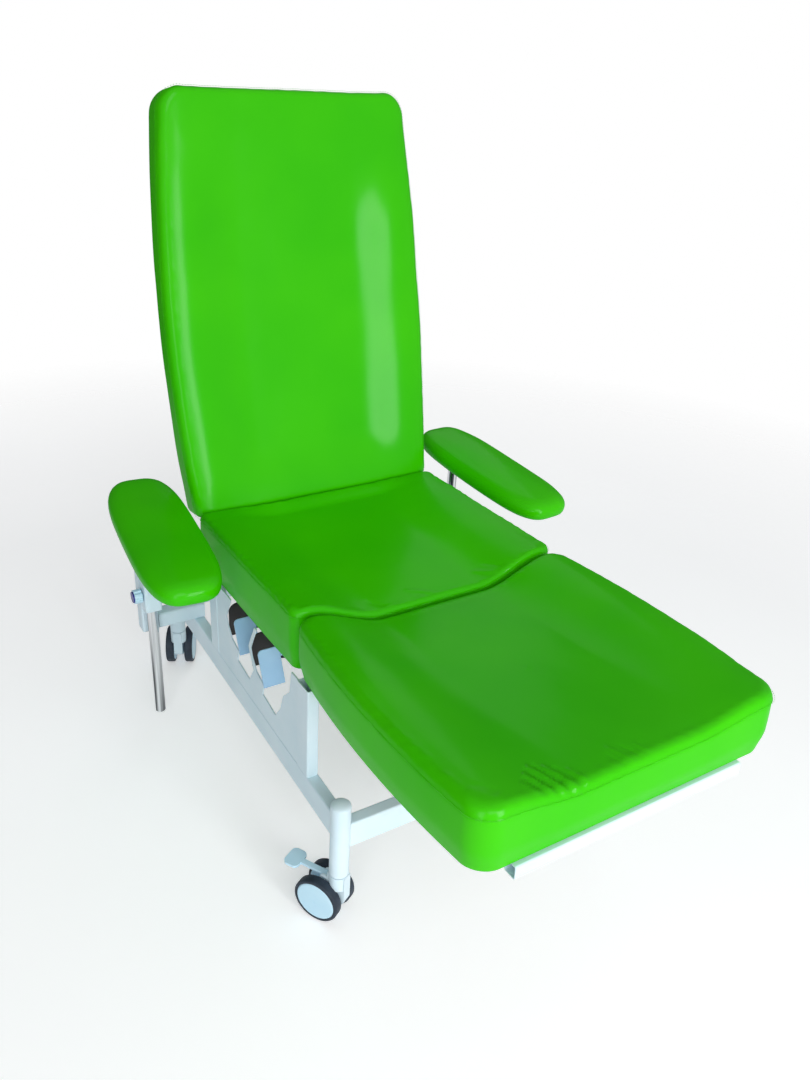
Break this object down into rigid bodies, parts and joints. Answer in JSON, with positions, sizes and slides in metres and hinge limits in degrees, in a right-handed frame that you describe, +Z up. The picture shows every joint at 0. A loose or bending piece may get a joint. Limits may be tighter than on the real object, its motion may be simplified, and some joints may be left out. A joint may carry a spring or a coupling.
{
  "type": "phlebotomy chair",
  "caption": "Reclining phlebotomy chair with dished seat, back and leg cushions on a white tube frame, height-set armrests, release levers and braked twin-wheel casters.",
  "frame": {"origin": "floor level below the middle of the chair, halfway between its foremost and rearmost points", "axes": "+Z up; -Y towards the foot end, the way the sitter faces; +X to the sitter's left, which is the right-hand side in the picture"},
  "size_m": [1.0194, 1.4911, 1.4592],
  "materials": {
    "white_coat": "satin powder coat",
    "green_vinyl": "glossy apple-green upholstery vinyl",
    "board": "plywood",
    "chrome": "polished chrome plate",
    "zinc": "zinc plated",
    "pale_plastic": "moulded, smooth",
    "white_plastic": "moulded, smooth",
    "lever_coat": "satin powder coat",
    "blue_cap": "moulded, smooth",
    "tyre": "matt non-marking tread",
    "black_coat": "satin black paint"
  },
  "bodies": {
    "base": {"side_rail_left": "white_coat", "side_rail_right": "white_coat", "front_crossbar": "white_coat", "rear_crossbar": "white_coat", "corner_tubes": "white_coat", "caster_stems": "zinc", "frame_posts": "white_coat", "side_panel_left": "white_coat", "side_panel_right": "white_coat", "seat_frame": "white_coat", "seat_board": "board", "seat_cushion": "green_vinyl", "board_screws": "zinc", "hinge_brackets": "white_coat", "hinge_pins": "zinc", "mechanism_plates": "white_coat", "anchor_pins": "zinc", "lever_brackets": "black_coat", "arm_bracket_left": "white_coat", "arm_bracket_right": "white_coat"},
    "backrest": {"back_frame": "white_coat", "back_board": "board", "back_cushion": "green_vinyl", "back_lugs": "white_coat"},
    "leg_section": {"leg_frame": "white_coat", "leg_board": "board", "leg_cushion": "green_vinyl", "leg_lugs": "white_coat"},
    "back_rod": {"back_gas_rod": "chrome"},
    "back_cylinder": {"back_gas_cylinder": "black_coat"},
    "leg_rod": {"leg_gas_rod": "chrome"},
    "leg_cylinder": {"leg_gas_cylinder": "black_coat"},
    "back_lever": {"back_release_lever": "lever_coat"},
    "leg_lever": {"leg_release_lever": "lever_coat"},
    "arm_lift_left": {"arm_post_left": "chrome"},
    "armrest_left": {"arm_plate_left": "white_coat", "arm_pad_left": "green_vinyl"},
    "knob_left": {"clamp_knob_left": "pale_plastic", "knob_cap_left": "blue_cap"},
    "arm_lift_right": {"arm_post_right": "chrome"},
    "armrest_right": {"arm_plate_right": "white_coat", "arm_pad_right": "green_vinyl"},
    "knob_right": {"clamp_knob_right": "pale_plastic", "knob_cap_right": "blue_cap"},
    "caster_front_left": {"caster_housing_front_left": "white_plastic"},
    "wheels_front_left": {"caster_wheels_front_left": "pale_plastic", "caster_tyres_front_left": "tyre"},
    "pedal_front_left": {"brake_pedal_front_left": "pale_plastic"},
    "caster_front_right": {"caster_housing_front_right": "white_plastic"},
    "wheels_front_right": {"caster_wheels_front_right": "pale_plastic", "caster_tyres_front_right": "tyre"},
    "pedal_front_right": {"brake_pedal_front_right": "pale_plastic"},
    "caster_rear_left": {"caster_housing_rear_left": "white_plastic"},
    "wheels_rear_left": {"caster_wheels_rear_left": "pale_plastic", "caster_tyres_rear_left": "tyre"},
    "pedal_rear_left": {"brake_pedal_rear_left": "pale_plastic"},
    "caster_rear_right": {"caster_housing_rear_right": "white_plastic"},
    "wheels_rear_right": {"caster_wheels_rear_right": "pale_plastic", "caster_tyres_rear_right": "tyre"},
    "pedal_rear_right": {"brake_pedal_rear_right": "pale_plastic"}
  },
  "joints": [
    {"name": "back_recline", "type": "hinge", "parent": "base", "child": "backrest", "pos_m": [0, 0.46465, 0.45607], "axis": [-1, 0, 0], "range_deg": [0, 62]},
    {"name": "leg_drop", "type": "hinge", "parent": "base", "child": "leg_section", "pos_m": [0, -0.2208, 0.47347], "axis": [1, 0, 0], "range_deg": [0, 50]},
    {"name": "back_rod_swing", "type": "hinge", "parent": "base", "child": "back_rod", "pos_m": [-0.018, 0.16908, 0.368], "axis": [1, 0, 0], "range_deg": [-3, 3]},
    {"name": "back_cylinder_slide", "type": "slide", "parent": "back_rod", "child": "back_cylinder", "axis": [0, 0.9913, 0.1317], "range_m": [-0.062, 0.004]},
    {"name": "leg_rod_swing", "type": "hinge", "parent": "base", "child": "leg_rod", "pos_m": [0.018, 0.03808, 0.368], "axis": [1, 0, 0], "range_deg": [-4, 4]},
    {"name": "leg_cylinder_slide", "type": "slide", "parent": "leg_rod", "child": "leg_cylinder", "axis": [0, -0.9776, 0.2105], "range_m": [-0.052, 0.004]},
    {"name": "back_lever_swing", "type": "hinge", "parent": "base", "child": "back_lever", "pos_m": [0, 0.16708, 0.41], "axis": [1, 0, 0], "range_deg": [0, 12], "stiffness_Nm_per_rad": 2, "springref_deg": -8.59},
    {"name": "leg_lever_swing", "type": "hinge", "parent": "base", "child": "leg_lever", "pos_m": [0, 0.03608, 0.41], "axis": [1, 0, 0], "range_deg": [0, 12], "stiffness_Nm_per_rad": 2, "springref_deg": -8.59},
    {"name": "arm_lift_left", "type": "slide", "parent": "base", "child": "arm_lift_left", "axis": [0, 0, 1], "range_m": [0, 0.2]},
    {"name": "arm_turn_left", "type": "hinge", "parent": "arm_lift_left", "child": "armrest_left", "pos_m": [-0.42, 0.41708, 0.596], "axis": [0, 0, -1], "range_deg": [0, 20]},
    {"name": "knob_turn_left", "type": "hinge", "parent": "base", "child": "knob_left", "pos_m": [-0.44, 0.41708, 0.385], "axis": [-1, 0, 0], "range_deg": [0, 300]},
    {"name": "arm_lift_right", "type": "slide", "parent": "base", "child": "arm_lift_right", "axis": [0, 0, 1], "range_m": [0, 0.2]},
    {"name": "arm_turn_right", "type": "hinge", "parent": "arm_lift_right", "child": "armrest_right", "pos_m": [0.42, 0.41708, 0.596], "axis": [0, 0, 1], "range_deg": [0, 20]},
    {"name": "knob_turn_right", "type": "hinge", "parent": "base", "child": "knob_right", "pos_m": [0.44, 0.41708, 0.385], "axis": [1, 0, 0], "range_deg": [0, 300]},
    {"name": "swivel_front_left", "type": "hinge", "parent": "base", "child": "caster_front_left", "pos_m": [-0.297, -0.31692, 0.118], "axis": [0, 0, 1], "continuous": true},
    {"name": "roll_front_left", "type": "hinge", "parent": "caster_front_left", "child": "wheels_front_left", "pos_m": [-0.313, -0.28921, 0.05], "axis": [0.866, 0.5, 0], "continuous": true},
    {"name": "brake_front_left", "type": "hinge", "parent": "caster_front_left", "child": "pedal_front_left", "pos_m": [-0.3115, -0.29181, 0.094], "axis": [-0.866, -0.5, 0], "range_deg": [0, 10]},
    {"name": "swivel_front_right", "type": "hinge", "parent": "base", "child": "caster_front_right", "pos_m": [0.297, -0.31692, 0.118], "axis": [0, 0, 1], "continuous": true},
    {"name": "roll_front_right", "type": "hinge", "parent": "caster_front_right", "child": "wheels_front_right", "pos_m": [0.28926, -0.28587, 0.05], "axis": [0.9703, 0.2419, 0], "continuous": true},
    {"name": "brake_front_right", "type": "hinge", "parent": "caster_front_right", "child": "pedal_front_right", "pos_m": [0.28998, -0.28879, 0.094], "axis": [-0.9703, -0.2419, 0], "range_deg": [0, 10]},
    {"name": "swivel_rear_left", "type": "hinge", "parent": "base", "child": "caster_rear_left", "pos_m": [-0.297, 0.63008, 0.118], "axis": [0, 0, 1], "continuous": true},
    {"name": "roll_rear_left", "type": "hinge", "parent": "caster_rear_left", "child": "wheels_rear_left", "pos_m": [-0.28247, 0.65859, 0.05], "axis": [0.891, -0.454, 0], "continuous": true},
    {"name": "brake_rear_left", "type": "hinge", "parent": "caster_rear_left", "child": "pedal_rear_left", "pos_m": [-0.28383, 0.65592, 0.094], "axis": [-0.891, 0.454, 0], "range_deg": [0, 10]},
    {"name": "swivel_rear_right", "type": "hinge", "parent": "base", "child": "caster_rear_right", "pos_m": [0.297, 0.63008, 0.118], "axis": [0, 0, 1], "continuous": true},
    {"name": "roll_rear_right", "type": "hinge", "parent": "caster_rear_right", "child": "wheels_rear_right", "pos_m": [0.28247, 0.65859, 0.05], "axis": [0.891, 0.454, 0], "continuous": true},
    {"name": "brake_rear_right", "type": "hinge", "parent": "caster_rear_right", "child": "pedal_rear_right", "pos_m": [0.28383, 0.65592, 0.094], "axis": [-0.891, -0.454, 0], "range_deg": [0, 10]}
  ],
  "couplings": [
    {"joint": "back_rod_swing", "follows": "back_recline", "ratio": -0.00927},
    {"joint": "back_cylinder_slide", "follows": "back_recline", "m_per_rad": -0.05239},
    {"joint": "leg_rod_swing", "follows": "leg_drop", "ratio": 0.02547},
    {"joint": "leg_cylinder_slide", "follows": "leg_drop", "m_per_rad": -0.0529}
  ]
}
